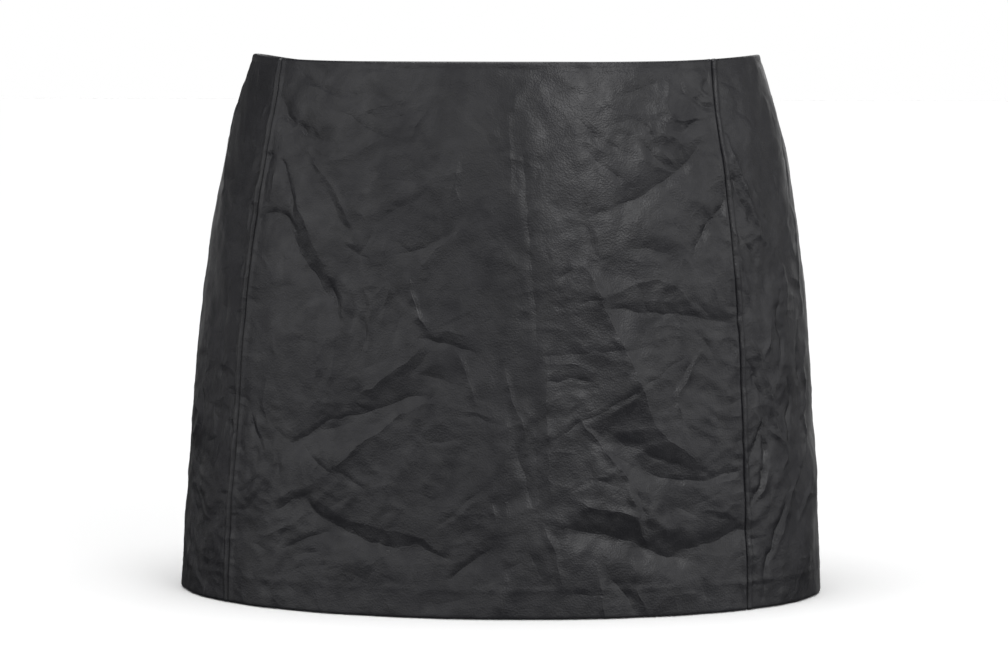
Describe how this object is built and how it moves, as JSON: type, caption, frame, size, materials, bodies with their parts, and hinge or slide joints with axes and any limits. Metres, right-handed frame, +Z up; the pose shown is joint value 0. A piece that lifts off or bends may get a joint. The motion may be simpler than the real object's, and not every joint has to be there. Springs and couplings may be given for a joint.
{
  "type": "mini pencil skirt",
  "caption": "Worn-form mini pencil skirt in coated cloth: front, side and back panels, turned-up hem, turned waist edge, concealed zip at centre back.",
  "frame": {"origin": "centre of the waist opening, level with the waist edge at the sides, where the wearer's waist holds the skirt", "axes": "front towards -Y, wearer's left towards +X, +Z up out of the waist opening"},
  "size_m": [0.4651, 0.3501, 0.3874],
  "materials": {
    "coated_cloth": "waxed black coated cloth, semi-matte",
    "zip_tape": "woven polyester tape, matte",
    "zip_nylon": "closed nylon coil, satin",
    "zip_metal": "black painted zinc, satin"
  },
  "bodies": {
    "skirt": {"front_panel": "coated_cloth", "side_panel_left": "coated_cloth", "side_panel_right": "coated_cloth", "back_panel_left": "coated_cloth", "back_panel_right": "coated_cloth", "zip_tape_left": "zip_tape", "zip_tape_right": "zip_tape", "zip_chain": "zip_nylon", "zip_stop": "zip_metal", "zip_slider": "zip_metal"},
    "pull_tab": {"zip_pull": "zip_metal"}
  },
  "joints": [
    {"name": "pull_tab_hinge", "type": "hinge", "parent": "skirt", "child": "pull_tab", "pos_m": [-0.00016, 0.14416, -0.01743], "axis": [1, 0, 0], "range_deg": [0, 150]}
  ]
}
